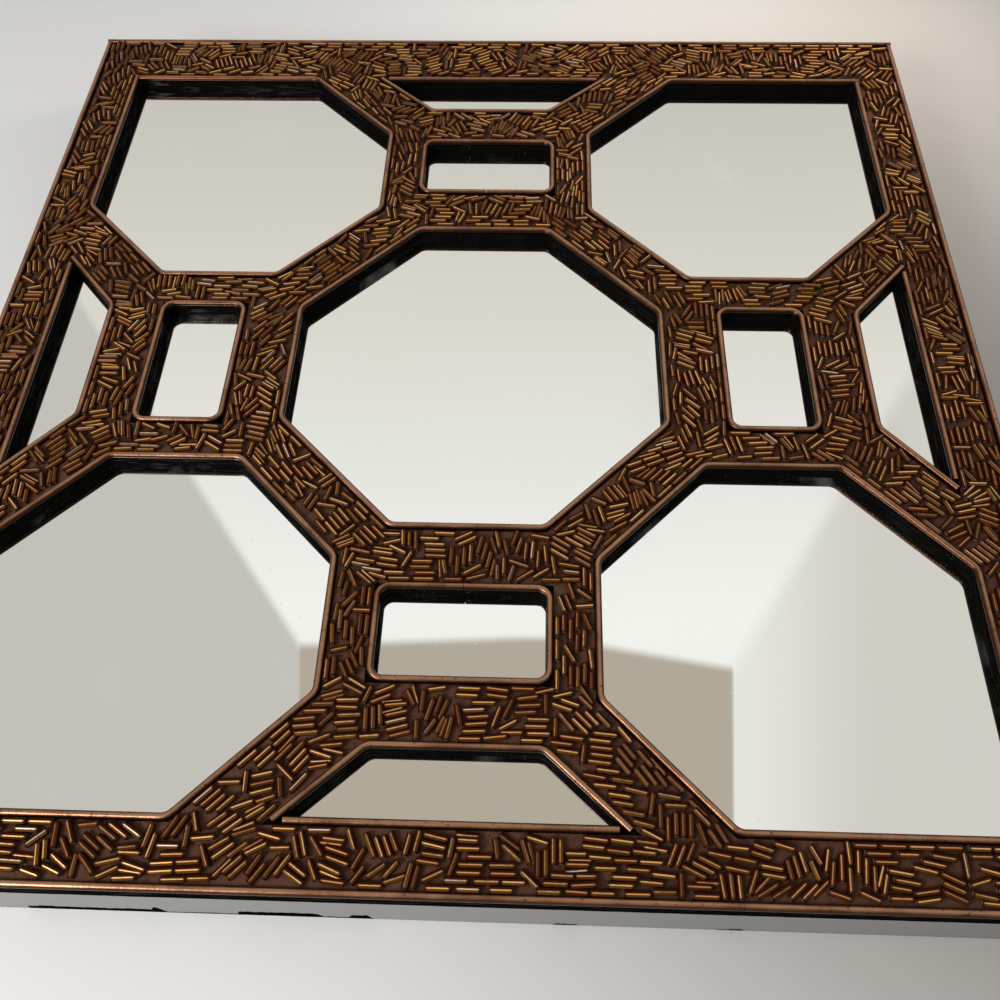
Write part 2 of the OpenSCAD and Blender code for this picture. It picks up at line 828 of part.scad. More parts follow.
// Puts its children at the two screws of a strap, with +Z going into the rail.
// Side is 1 at the right and -1 at the left.
module screw_places(side) {
    for (k = [0 : 1])
        translate([side * wall_x, hanger_y - screw_first - k * screw_pitch, hanger_z])
        rotate([0, side * 90, 0])
        children();
}

module screw() {
    seat = -2 * strap_t;
    slot_w = 0.8;
    slot_h = 0.6;
    color(steel)
        difference() {
            union() {
                translate([0, 0, seat])
                    cylinder(d = screw_d, h = screw_len, $fn = 24);
                translate([0, 0, seat - screw_head_h])
                    cylinder(d = screw_head_d, h = screw_head_h, $fn = 32);
            }
            translate([-screw_head_d, -slot_w / 2, seat - screw_head_h - slot_h])
                cube([2 * screw_head_d, slot_w, 2 * slot_h]);
        }
}

// One module for each node

module side_rail_bottom() side_rail(box_w, box_h / 2, 0, 0);
module side_rail_top() side_rail(box_w, box_h / 2, 180, 0);
module side_rail_left() side_rail(box_h, box_w / 2, -90, -1);
module side_rail_right() side_rail(box_h, box_w / 2, 90, 1);

module fretwork_board() {
    color(board_black)
        translate([0, octagon_y, rail_h])
        linear_extrude(height = board_t)
        difference() {
            polygon(grown(outline, edge_lip));
            cuts();
        }
}

module bead_bed() {
    color(bed_brown)
        translate([0, octagon_y, board_top])
        linear_extrude(height = bed_t)
        bed_outline();
}

module mirror_pane() {
    color(silvered)
        translate([0, 0, mirror_z + mirror_t / 2])
        cube(
            [box_w - 2 * (rail_t + pane_gap), box_h - 2 * (rail_t + pane_gap), mirror_t],
            center = true
        );
}

module backing_board() {
    color(hardboard)
        translate([0, 0, backing_z + backing_t / 2])
        cube(
            [box_w - 2 * (rail_t + pane_gap), box_h - 2 * (rail_t + pane_gap), backing_t],
            center = true
        );
}

module retaining_strip_bottom() retaining_strip(box_w, box_h / 2, 0);
module retaining_strip_top() retaining_strip(box_w, box_h / 2, 180);
module retaining_strip_left() retaining_strip(box_h, box_w / 2, -90);
module retaining_strip_right() retaining_strip(box_h, box_w / 2, 90);

module hanger_strap_left() mirror([1, 0, 0]) strap();
module hanger_strap_right() strap();
module hanger_ring_left() mirror([1, 0, 0]) ring();
module hanger_ring_right() ring();

module hanger_screws() {
    screw_places(1) screw();
    screw_places(-1) screw();
}

module outer_wire_bottom() outer_wire(outline[0] - [wire_r, 0], outline[1] + [wire_r, 0]);
module outer_wire_top() outer_wire(outline[2] + [wire_r, 0], outline[3] - [wire_r, 0]);
module outer_wire_left()
    outer_wire(outline[3] - [0, wire_r + wire_gap], outline[0] + [0, wire_r + wire_gap]);
module outer_wire_right()
    outer_wire(outline[1] + [0, wire_r + wire_gap], outline[2] - [0, wire_r + wire_gap]);

module octagon_wire() {
    path = seamed(rolled(octagon, 6), 0.15);
    edging(path, same(bend_r, len(path)));
}

module corner_wire_top_right() corner_wire(0);
module corner_wire_top_left() corner_wire(1);
module corner_wire_bottom_left() corner_wire(2);
module corner_wire_bottom_right() corner_wire(3);
module window_wire_top() window_wire(0);
module window_wire_left() window_wire(1);
module window_wire_bottom() window_wire(2);
module window_wire_right() window_wire(3);
module trapezoid_wire_top() trapezoid_wire(0);
module trapezoid_wire_left() trapezoid_wire(1);
module trapezoid_wire_bottom() trapezoid_wire(2);
module trapezoid_wire_right() trapezoid_wire(3);
module trapezoid_base_wire_top() trapezoid_base_wire(0);
module trapezoid_base_wire_left() trapezoid_base_wire(1);
module trapezoid_base_wire_bottom() trapezoid_base_wire(2);
module trapezoid_base_wire_right() trapezoid_base_wire(3);

module beads_top_right_corner() corner_beads(0, 100);
module beads_top_left_corner() corner_beads(1, 200);
module beads_bottom_left_corner() corner_beads(2, 300);
module beads_bottom_right_corner() corner_beads(3, 400);
module beads_top_edge_right() edge_beads(true, 0, 500);
module beads_top_edge_left() edge_beads(false, 0, 600);
module beads_left_edge_top() edge_beads(true, 1, 700);
module beads_left_edge_bottom() edge_beads(false, 1, 800);
module beads_bottom_edge_left() edge_beads(true, 2, 900);
module beads_bottom_edge_right() edge_beads(false, 2, 1000);
module beads_right_edge_bottom() edge_beads(true, 3, 1100);
module beads_right_edge_top() edge_beads(false, 3, 1200);
module beads_top_inner_right() inner_beads(true, 0, 1300);
module beads_top_inner_left() inner_beads(false, 0, 1400);
module beads_left_inner_top() inner_beads(true, 1, 1500);
module beads_left_inner_bottom() inner_beads(false, 1, 1600);
module beads_bottom_inner_left() inner_beads(true, 2, 1700);
module beads_bottom_inner_right() inner_beads(false, 2, 1800);
module beads_right_inner_bottom() inner_beads(true, 3, 1900);
module beads_right_inner_top() inner_beads(false, 3, 2000);

side_rail_bottom();
side_rail_top();
side_rail_left();
side_rail_right();
fretwork_board();
bead_bed();
mirror_pane();
backing_board();
retaining_strip_bottom();
retaining_strip_top();
retaining_strip_left();
retaining_strip_right();
hanger_strap_left();
hanger_strap_right();
hanger_ring_left();
hanger_ring_right();
hanger_screws();
outer_wire_bottom();
outer_wire_top();
outer_wire_left();
outer_wire_right();
octagon_wire();
corner_wire_top_right();
corner_wire_top_left();
corner_wire_bottom_left();
corner_wire_bottom_right();
window_wire_top();
window_wire_left();
window_wire_bottom();
window_wire_right();
trapezoid_wire_top();
trapezoid_wire_left();
trapezoid_wire_bottom();
trapezoid_wire_right();
trapezoid_base_wire_top();
trapezoid_base_wire_left();
trapezoid_base_wire_bottom();
trapezoid_base_wire_right();
beads_top_right_corner();
beads_top_left_corner();
beads_bottom_left_corner();
beads_bottom_right_corner();
beads_top_edge_right();
beads_top_edge_left();
beads_left_edge_top();
beads_left_edge_bottom();
beads_bottom_edge_left();
beads_bottom_edge_right();
beads_right_edge_bottom();
beads_right_edge_top();
beads_top_inner_right();
beads_top_inner_left();
beads_left_inner_top();
beads_left_inner_bottom();
beads_bottom_inner_left();
beads_bottom_inner_right();
beads_right_inner_bottom();
beads_right_inner_top();
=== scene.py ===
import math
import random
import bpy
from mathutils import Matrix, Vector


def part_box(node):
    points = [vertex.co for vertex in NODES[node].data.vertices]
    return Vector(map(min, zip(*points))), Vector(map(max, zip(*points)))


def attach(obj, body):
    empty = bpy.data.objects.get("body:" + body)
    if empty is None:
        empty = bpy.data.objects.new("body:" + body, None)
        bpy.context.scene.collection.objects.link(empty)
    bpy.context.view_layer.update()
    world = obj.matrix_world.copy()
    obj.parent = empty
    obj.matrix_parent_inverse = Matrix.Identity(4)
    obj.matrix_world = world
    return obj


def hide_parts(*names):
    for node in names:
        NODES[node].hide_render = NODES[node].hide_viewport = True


bl_info = {
    "name": "Beaded Mirror Looks",
    "version": (1, 0, 0),
    "blender": (4, 5, 0),
    "location": "View3D > Sidebar > Beaded Mirror",
    "description": "Glass beads, copper wires, lacquer and silvered glass for a beaded wall mirror",
    "category": "Object",
}

import bmesh
import bpy
from mathutils import Matrix, Vector, noise
from mathutils.bvhtree import BVHTree

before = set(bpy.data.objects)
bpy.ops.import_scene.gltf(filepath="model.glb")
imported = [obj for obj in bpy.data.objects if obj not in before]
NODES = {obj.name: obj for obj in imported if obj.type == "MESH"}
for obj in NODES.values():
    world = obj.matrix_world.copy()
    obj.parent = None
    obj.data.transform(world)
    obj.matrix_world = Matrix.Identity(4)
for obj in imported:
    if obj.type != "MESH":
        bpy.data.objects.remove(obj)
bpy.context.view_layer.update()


def nodes_named(start):
    """The frame's nodes whose names start with a word, in order."""
    return sorted(name for name in NODES if name.startswith(start))


# Shader building


class Socket:
    """An output socket. Python sums of sockets and numbers make Math nodes."""

    def __init__(self, finish, output):
        self.finish = finish
        self.output = output

    def _sum(self, operation, first, second):
        return self.finish.node("Math", {"operation": operation}, {0: first, 1: second})

    def __add__(self, other):
        return self._sum("ADD", self, other)

    def __radd__(self, other):
        return self._sum("ADD", other, self)

    def __sub__(self, other):
        return self._sum("SUBTRACT", self, other)

    def __rsub__(self, other):
        return self._sum("SUBTRACT", other, self)

    def __mul__(self, other):
        return self._sum("MULTIPLY", self, other)

    def __rmul__(self, other):
        return self._sum("MULTIPLY", other, self)

    def __truediv__(self, other):
        return self._sum("DIVIDE", self, other)

    def between(self, low, high):
        """0 below low, 1 above high, and a smooth step between them."""
        settings = {"interpolation_type": "SMOOTHSTEP"}
        inputs = {"Value": self, "From Min": low, "From Max": high}
        return self.finish.node("MapRange", settings, inputs)

    def part(self, axis):
        """One number of a vector, by the name of its axis."""
        return self.finish.node("SeparateXYZ", {}, {0: self}, axis)

    def towards(self, way):
        """How far a vector reaches in one direction."""
        settings = {"operation": "DOT_PRODUCT"}
        return self.finish.node("VectorMath", settings, {0: self, 1: tuple(way)}, "Value")

    def size(self):
        """The value without its sign."""
        return self.finish.node("Math", {"operation": "ABSOLUTE"}, {0: self})


# A Mix node's sockets for colours share their names with others, so they go by number
MIX_SHARE, MIX_FIRST, MIX_SECOND, MIX_RESULT = 0, 6, 7, 2


class Finish:
    """A node tree of a material or a world, built one node at a time."""

    def __init__(self, owner):
        owner.use_nodes = True
        self.owner = owner
        self.tree = owner.node_tree
        self.tree.nodes.clear()

    def node(self, kind, settings=None, inputs=None, output=0):
        """Adds a shader node with its settings and inputs, and gives one of its outputs."""
        made = self.tree.nodes.new("ShaderNode" + kind)
        for name, value in (settings or {}).items():
            if name == "stops":
                stops = made.color_ramp.elements
                stops.remove(stops[1])
                stops[0].position = value[0][0]
                stops[0].color = (*value[0][1], 1.0)
                for place, tint in value[1:]:
                    stops.new(place).color = (*tint, 1.0)
            else:
                setattr(made, name, value)
        for name, value in (inputs or {}).items():
            place = made.inputs[name]
            if isinstance(value, Socket):
                self.tree.links.new(value.output, place)
            elif place.type == "RGBA" and len(value) == 3:
                place.default_value = (*value, 1.0)
            else:
                place.default_value = value
        return Socket(self, made.outputs[output]) if made.outputs else None

    def place(self):
        """Object coordinates, which start at the origin of the frame."""
        return self.node("TexCoord", output="Object")

    def noise(self, scale, detail, roughness=0.55, place=None):
        """Fine random variation, with features about 1/scale metres wide."""
        inputs = {
            "Vector": place or self.place(),
            "Scale": scale,
            "Detail": detail,
            "Roughness": roughness,
        }
        return self.node("TexNoise", {}, inputs)

    def stretched(self, scale):
        """Object coordinates stretched by three factors."""
        return self.node("Mapping", {}, {"Vector": self.place(), "Scale": scale})

    def blend(self, share, first, second):
        """A colour between two colours."""
        settings = {"data_type": "RGBA", "clamp_factor": True}
        inputs = {MIX_SHARE: share, MIX_FIRST: first, MIX_SECOND: second}
        return self.node("Mix", settings, inputs, MIX_RESULT)

    def ramp(self, value, stops):
        """A colour picked from a ramp by a number."""
        return self.node("ValToRGB", {"stops": stops}, {0: value})

    def bump(self, height, depth, strength):
        """A normal that a height in units of depth metres bends."""
        inputs = {"Height": height, "Distance": depth, "Strength": strength}
        return self.node("Bump", {}, inputs)

    def surface(self, **sockets):
        """Ends a material in one Principled BSDF. Its sockets are given in lower case."""
        inputs = {name.replace("_", " ").title(): value for name, value in sockets.items()}
        shader = self.node("BsdfPrincipled", {}, {
            name.replace("Ior", "IOR"): value for name, value in inputs.items()
        })
        self.node("OutputMaterial", {}, {"Surface": shader})
        return self.owner


def new_finish(name):
    """An empty node tree of a new material."""
    return Finish(bpy.data.materials.new(name))


def dress(names, material):
    """Puts one material on CAD nodes that keep their own shape."""
    for name in names:
        slots = NODES[name].material_slots
        for slot in slots:
            slot.link = "DATA"
            slot.material = material
        if not slots:
            NODES[name].data.materials.append(material)


# Sizes and colours that a user would change


def colour(name, value, description):
    """A colour property of a property group."""
    return bpy.props.FloatVectorProperty(
        name=name, description=description, subtype="COLOR", size=3, default=value, min=0, max=1
    )


class MIRROR_PG_beads(bpy.types.PropertyGroup):
    """The glass bugle beads"""

    bore: bpy.props.FloatProperty(
        name="Bore",
        description="Diameter of the hole along a bead",
        default=0.0008, min=0.0004, max=0.0012, unit="LENGTH",
    )
    tilt: bpy.props.FloatProperty(
        name="Tilt",
        description="Largest angle between a bead and the face",
        default=math.radians(1.2), min=0, max=math.radians(2), subtype="ANGLE",
    )
    tuck: bpy.props.FloatProperty(
        name="Tuck",
        description="Smallest distance between the axes of a tucked bead and its neighbours",
        default=0.001, min=0.0009, max=0.002, unit="LENGTH",
    )
    sink: bpy.props.FloatProperty(
        name="Sink",
        description="How much deeper than its neighbours a tucked bead lies in the glue",
        default=0.00045, min=0, max=0.0006, unit="LENGTH",
    )
    seed: bpy.props.IntProperty(
        name="Seed", description="Picks the tone of each bead", default=7
    )
    dark: colour("Dark glass", (0.03, 0.0045, 0.0006), "Colour of a bead's sides")
    # The next colour is a painted reflection that glows below the painted highlight
    painted_glow_amber: colour("Amber", (0.13, 0.05, 0.01), "Colour of the glow below the streak")
    # Gold, orange and silver colour the painted highlight, which stands for the lining's reflection
    gold: colour("Gold", (0.98, 0.57, 0.19), "Colour of the streak on most beads")
    orange: colour("Orange", (0.64, 0.28, 0.1), "Colour of the streak on the reddest beads")
    silver: colour("Silver", (0.85, 0.66, 0.48), "Colour of the streak on the palest beads")
    hollow: colour("Hollow", (0.12, 0.09, 0.06), "Colour inside the bore of a bead")


class MIRROR_PG_wires(bpy.types.PropertyGroup):
    """The wires, and the board and glue between them"""

    copper: colour("Copper", (0.14, 0.055, 0.025), "Colour of the wires' copper paint")
    # This paler colour is partly wear and partly a painted highlight along the wires' tops
    worn_and_highlight: colour("Worn copper", (0.4, 0.21, 0.12), "Colour where the paint is rubbed")
    # This dark colour is painted shade low on the wires and also their specks of dirt
    grime_and_shade: colour("Grime", (0.025, 0.009, 0.004), "Colour of the dirt low on the wires")
    board: colour("Board", (0.0035, 0.0033, 0.003), "Colour of the board's painted edges")
    dust: colour("Dust", (0.3, 0.29, 0.27), "Colour of the dust on the board's edges")
    bed: colour("Glue bed", (0.1, 0.042, 0.024), "Colour of the painted glue")
    # The colour below is painted shade in the glue's low places
    dent_shade: colour("Glue dents", (0.035, 0.013, 0.0065), "Colour in the glue's low places")


class MIRROR_PG_box(bpy.types.PropertyGroup):
    """The rails, the mirror pane and the back"""

    lacquer: colour("Lacquer", (0.21, 0.21, 0.205), "Colour of the side rails")
    cloudy: colour("Cloudy lacquer", (0.11, 0.11, 0.107), "Colour of the rails' darker clouds")
    black: colour("Black paint", (0.003, 0.0028, 0.0026), "Colour of the lap and the dabs")
    silvering: colour("Silvering", (0.93, 0.94, 0.93), "Tint of the mirror pane")
    smear: colour("Smear", (0.6, 0.6, 0.58), "Tint of the wiped marks on the pane")
    hardboard: colour("Hardboard", (0.2, 0.105, 0.05), "Colour of the backing board")
    fibres: colour("Fibres", (0.12, 0.058, 0.026), "Colour of the backing board's dark fibres")
    clouds: colour("Clouds", (0.27, 0.155, 0.08), "Colour of the backing board's pale clouds")
    pine: colour("Pine", (0.56, 0.35, 0.17), "Colour of the strips")
    grain: colour("Grain", (0.36, 0.19, 0.08), "Colour of the strips' grain")
    zinc: colour("Zinc", (0.62, 0.62, 0.6), "Colour of the hangers")
    spangle: colour("Spangle", (0.42, 0.42, 0.41), "Colour of the darker crystals in the zinc")


class MIRROR_PG_stage(bpy.types.PropertyGroup):
    """The floor, the room, the lamps and the camera"""

    floor: colour("Floor", (0.78, 0.77, 0.76), "Colour of the floor")
    crease: colour("Creases", (0.68, 0.67, 0.66), "Colour of the floor's soft creases")
    # The next colour is painted shade on the floor, which turns darker away from the window
    shade: colour("Shade", (0.46, 0.43, 0.405), "Colour of the floor away from the window")
    room: colour("Room", (0.96, 0.965, 0.92), "Colour of the ceiling that the mirror shows")
    wall: colour("Wall", (0.67, 0.65, 0.595), "Colour of the side walls that the mirror shows")
    corner: colour("End wall", (0.47, 0.415, 0.34), "Colour of the dark wall that the mirror shows")
    lens: bpy.props.FloatProperty(
        name="Lens",
        description="Focal length of the camera, for a 36 mm sensor",
        default=36.81, min=20, max=100, unit="CAMERA",
    )
    lamp: bpy.props.FloatProperty(
        name="Lamp", description="Power of the window lamp", default=5.2, min=0, max=50,
        unit="POWER",
    )
    corner_lamp: bpy.props.FloatProperty(
        name="Corner lamp", description="Power of the small lamp over the far corner",
        default=0.4, min=0, max=5, unit="POWER",
    )
    fill: bpy.props.FloatProperty(
        name="Fill", description="Strength of the light from all round", default=0.48, min=0, max=3
    )


SETTINGS = {
    "mirror_beads": MIRROR_PG_beads,
    "mirror_wires": MIRROR_PG_wires,
    "mirror_box": MIRROR_PG_box,
    "mirror_stage": MIRROR_PG_stage,
}


# Beads

BEAD_SIDES = 12
# Points of a CAD solid that are closer than this, in metres, are one point
SAME_POINT = 2e-6
# Kept free at each end of a bead, so that a tilted bead stays in its place
END_ROOM = 1e-4
# A point of the tube closer to the axis than this share of its radius is in the bore
BORE_EDGE = 0.9
# Ways that the painted highlight and the painted reflection glowing below it lean, out of the face
# and towards the window
PAINTED_STREAK_WAY = Vector((-0.08, -0.34, 0.94)).normalized()
PAINTED_GLOW_WAY = Vector((0.3, -1.0, 0.0))
# The tone of a bead sets how bright its painted highlight is. It is a sum of its own random share,
# a painted highlight for beads that lie across the view and a random share for its patch of the
# face. A patch is about 1 / TONE_PATCHES metres wide.
OWN_TONE = 0.6
ACROSS_HIGHLIGHT = 0.5
PATCH_TONE = 0.8
TONE_PATCHES = 70.0
# Side of the squares that beads are sorted into, a little more than the longest bead
LIE_CELL = 0.0085
# Distance between the places where a tucked bead is tried, and how many ways it is turned
TUCK_STEP = 0.0011
TUCK_ANGLES = 12
# Shortest and longest tucked bead, as half its length over its radius
TUCK_LENGTHS = (3.3, 3.6)
# How much of each end may run under a neighbour
TUCK_END = 0.0009
# No neighbour whose middle is farther away than this can touch
TUCK_REACH = 0.0076


def clusters_of(mesh):
    """The separate solids of a CAD node, each as a list of its points."""
    body = bmesh.new()
    body.from_mesh(mesh)
    bmesh.ops.remove_doubles(body, verts=body.verts, dist=SAME_POINT)
    seen = set()
    found = []
    for start in body.verts:
        if start.index in seen:
            continue
        seen.add(start.index)
        points, waiting = [], [start]
        while waiting:
            vert = waiting.pop()
            points.append(vert.co.copy())
            for edge in vert.link_edges:
                other = edge.other_vert(vert)
                if other.index not in seen:
                    seen.add(other.index)
                    waiting.append(other)
        found.append(points)
    body.free()
    return found


class Lie:
    """Where one bead lies: its middle, direction along the face, half length and radius."""

    def __init__(self, middle, along, half, radius):
        self.middle = middle
        self.along = along
        self.half = half
        self.radius = radius

    def cell(self):
        """The square that the middle is in."""
        return (int(self.middle.x // LIE_CELL), int(self.middle.y // LIE_CELL))

    def point(self, share):
        """A point on the axis, from -1 at one end to 1 at the other."""
        return self.middle + self.along * (self.half * share)

    def off(self, place):
        """How far a place is from the axis, seen from above."""
        away = place - self.middle
        run = max(-self.half, min(self.half, away.dot(self.along)))
        return (away - self.along * run).to_2d().length

    def apart(self, other):
        """The smallest distance between two axes, seen from above."""
        ends = [other.point(-1), other.point(1)]
        sides = [(end - self.middle).cross(self.along).z for end in ends]
        if sides[0] * sides[1] < 0:
            share = sides[0] / (sides[0] - sides[1])
            if abs((ends[0].lerp(ends[1], share) - self.middle).dot(self.along)) < self.half:
                return 0.0
        mine = [other.off(self.point(-1)), other.off(self.point(1))]
        return min(mine + [self.off(end) for end in ends])


def bead_lie(points):
    """The lie of one rod-shaped solid that lies level."""
    middle = sum(points, Vector()) / len(points)
    spread_xx = sum((p.x - middle.x) ** 2 for p in points)
    spread_yy = sum((p.y - middle.y) ** 2 for p in points)
    spread_xy = sum((p.x - middle.x) * (p.y - middle.y) for p in points)
    angle = 0.5 * math.atan2(2 * spread_xy, spread_xx - spread_yy)
    along = Vector((math.cos(angle), math.sin(angle), 0.0))
    half = max(abs((p - middle).dot(along)) for p in points)
    radius = max(p.z for p in points) - middle.z
    return Lie(middle, along, half, radius)


def glue_surface():
    """The glue bed, for testing what lies over it."""
    body = bmesh.new()
    body.from_mesh(NODES["bead_bed"].data)
    bed = BVHTree.FromBMesh(body)
    body.free()
    return bed


def over_glue(lie, bed):
    """Whether a bead's whole outline lies over the glue bed."""
    across = Vector((-lie.along.y, lie.along.x, 0.0)) * lie.radius
    down = Vector((0.0, 0.0, -1.0))
    rim = [
        lie.middle + lie.along * lie.half * share + across * side
        for share in (-1, -0.5, 0, 0.5, 1) for side in (-1, 1)
    ]
    return all(bed.ray_cast(place, down)[0] for place in rim)


def tucked(lies, low, high, beads, pick):
    """More beads, pushed down into the narrow gaps that level beads leave between them."""
    bed = glue_surface()
    near = {}
    for lie in lies:
        near.setdefault(lie.cell(), []).append(lie)
    usual = lies[0]
    found = []
    for column in range(int((high.x - low.x) / TUCK_STEP)):
        for row in range(int((high.y - low.y) / TUCK_STEP)):
            spot = Vector((
                low.x + TUCK_STEP * (column + pick.random()),
                low.y + TUCK_STEP * (row + pick.random()),
                usual.middle.z,
            ))
            first = pick.uniform(0, math.pi)
            half = usual.radius * pick.uniform(*TUCK_LENGTHS)
            home = Lie(spot, Vector((1, 0, 0)), half, usual.radius).cell()
            others = [
                lie for i in (-1, 0, 1) for j in (-1, 0, 1)
                for lie in near.get((home[0] + i, home[1] + j), ())
            ]
            if any(lie.off(spot) < beads.tuck for lie in others):
                continue
            others = [lie for lie in others if (lie.middle - spot).length < TUCK_REACH]
            others.sort(key=lambda lie: (lie.middle - spot).length)
            for turn in range(TUCK_ANGLES):
                angle = first + math.pi * turn / TUCK_ANGLES
                along = Vector((math.cos(angle), math.sin(angle), 0.0))
                short = Lie(spot, along, half - TUCK_END, usual.radius)
                if any(lie.apart(short) < beads.tuck for lie in others):
                    continue
                lie = Lie(spot, along, half, usual.radius)
                if over_glue(lie, bed):
                    near.setdefault(lie.cell(), []).append(lie)
                    found.append(lie)
                    break
    return found


def bead_master(bore_share):
    """A tube of radius 1 and half length 1 along X, with square-cut ends."""
    body = bmesh.new()
    bmesh.ops.create_cone(
        body, cap_ends=True, segments=BEAD_SIDES, radius1=1.0, radius2=1.0, depth=2.0
    )
    caps = [f for f in body.faces if len(f.verts) == BEAD_SIDES]
    bmesh.ops.inset_region(body, faces=caps, thickness=1.0 - bore_share, use_even_offset=False)
    caps = [f for f in body.faces if len(f.verts) == BEAD_SIDES]
    rims = [edge for f in caps for edge in f.edges]
    bmesh.ops.delete(body, geom=caps, context="FACES_ONLY")
    bmesh.ops.bridge_loops(body, edges=rims)
    bmesh.ops.rotate(
        body, verts=body.verts, cent=(0, 0, 0), matrix=Matrix.Rotation(math.pi / 2, 3, "Y")
    )
    bmesh.ops.recalc_face_normals(body, faces=body.faces)
    for face in body.faces:
        face.smooth = abs(face.normal.x) < 0.5
    for edge in body.edges:
        if len({f.smooth for f in edge.link_faces}) == 2:
            edge.smooth = False
    mesh = bpy.data.meshes.new("bead_master")
    body.to_mesh(mesh)
    body.free()
    return mesh


def bead_glass(beads):
    """Dark brown glass over a bright lining, which shows as a painted highlight, a narrow line
    painted along the top, with a painted reflection glowing below it.
    """
    finish = new_finish("bead_glass")
    # How far a point is across (X), up towards the painted highlight (Y) and along (Z) its bead,
    # and the bead's tone, which sets how bright its painted highlight is (X), whether the point is
    # in the bore (Y), and the bead's hue (Z)
    lie = finish.node("Attribute", {"attribute_name": "bead_lie"}, output="Vector")
    kind = finish.node("Attribute", {"attribute_name": "bead_kind"}, output="Vector")
    tone, bore, hue = kind.part("X"), kind.part("Y"), kind.part("Z")
    flaws = finish.noise(700, detail=4.0, roughness=0.7) - 0.5
    side = lie.part("X") + 0.12 * flaws
    top = lie.part("Y").between(0.0, 0.3)
    inner = 1 - lie.part("Z").size().between(0.75, 0.98)
    bright = (tone + 1.2 * flaws).between(0.0, 1.0)
    # Painted highlight: the lining's reflection, painted as a bright line along the bead's top and
    # fading towards its ends
    painted_streak = top * inner * (1 - (side + 0.1).size().between(0.0, 0.29)) * (0.25 + 0.75 * bright)
    # Painted reflection: a glow painted along one side of the bead, below the painted highlight
    glow = inner * side.between(0.0, 0.4) * (1 - side.between(0.65, 0.95)) * (0.3 + 0.7 * hue)
    lining = finish.blend(hue.between(0.0, 0.9), tuple(beads.orange), tuple(beads.gold))
    lining = finish.blend(hue.between(0.95, 0.97), lining, tuple(beads.silver))
    tint = finish.blend(glow, tuple(beads.dark), tuple(beads.painted_glow_amber))
    tint = finish.blend(painted_streak, tint, lining)
    tint = finish.blend(bore, tint, tuple(beads.hollow))
    return finish.surface(
        base_color=tint,
        metallic=0.4 * painted_streak,
        roughness=0.3,
        coat_weight=0.07,
        coat_roughness=0.04,
        specular_ior_level=0.04,
    )


def add_bead(body, layers, master, lie, most_tilt, pick):
    """Adds one tube to a mesh, and notes at each point where on the bead it is."""
    marks, kind = layers
    tilt = pick.uniform(-most_tilt, most_tilt)
    turn = (
        Matrix.Rotation(math.atan2(lie.along.y, lie.along.x), 4, "Z")
        @ Matrix.Rotation(tilt, 4, "Y")
        @ Matrix.Rotation(pick.uniform(0, math.pi), 4, "X")
    )
    middle = lie.middle - Vector((0, 0, lie.half * abs(math.sin(tilt))))
    patch = noise.noise(lie.middle * TONE_PATCHES)
    # Beads that lie across the view get a stronger painted highlight
    tone = OWN_TONE * pick.random() + ACROSS_HIGHLIGHT * abs(lie.along.x) ** 3 + PATCH_TONE * patch
    hue = pick.random()
    # Up points to where the painted highlight is drawn on this bead, across to the side of the
    # painted reflection below it
    up = (PAINTED_STREAK_WAY - lie.along * PAINTED_STREAK_WAY.dot(lie.along)).normalized()
    across = lie.along.cross(up)
    if across.dot(PAINTED_GLOW_WAY) < 0:
        across.negate()
    start = len(body.verts)
    body.from_mesh(master)
    body.verts.ensure_lookup_table()
    fresh = body.verts[start:]
    for vert in fresh:
        out = turn @ Vector((0.0, vert.co.y, vert.co.z))
        vert[marks] = Vector((out.dot(across), out.dot(up), vert.co.x))
        vert[kind] = Vector((tone, 1.0 if out.length < BORE_EDGE else 0.0, hue))
    sized = Matrix.Diagonal((lie.half - END_ROOM, lie.radius, lie.radius, 1.0))
    bmesh.ops.transform(body, matrix=Matrix.Translation(middle) @ turn @ sized, verts=fresh)


class MIRROR_OT_beads(bpy.types.Operator):
    """Make a glass tube for each bugle bead, in the place of the solid one"""

    bl_idname = "mirror.beads"
    bl_label = "Bugle Beads"

    def execute(self, context):
        beads = context.scene.mirror_beads
        pick = random.Random(beads.seed)
        material = bead_glass(beads)
        laid = {
            name: [bead_lie(points) for points in clusters_of(NODES[name].data)]
            for name in nodes_named("beads_")
        }
        low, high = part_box("bead_bed")
        every = [lie for lies in laid.values() for lie in lies]
        for extra in tucked(every, low, high, beads, pick):
            extra.middle.z -= beads.sink
            closest = min(laid, key=lambda name: min(
                (lie.middle - extra.middle).length for lie in laid[name]
            ))
            laid[closest].append(extra)
        master = bead_master(beads.bore / 2 / every[0].radius)
        for name, lies in laid.items():
            body = bmesh.new()
            marks = body.verts.layers.float_vector.new("bead_lie")
            kind = body.verts.layers.float_vector.new("bead_kind")
            for lie in lies:
                add_bead(body, (marks, kind), master, lie, beads.tilt, pick)
            mesh = bpy.data.meshes.new("glass_" + name)
            body.to_mesh(mesh)
            body.free()
            mesh.materials.append(material)
            piece = bpy.data.objects.new("glass_" + name, mesh)
            context.scene.collection.objects.link(piece)
            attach(piece, "mirror")
            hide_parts(name)
        return {"FINISHED"}


# Face: wires, board and glue bed


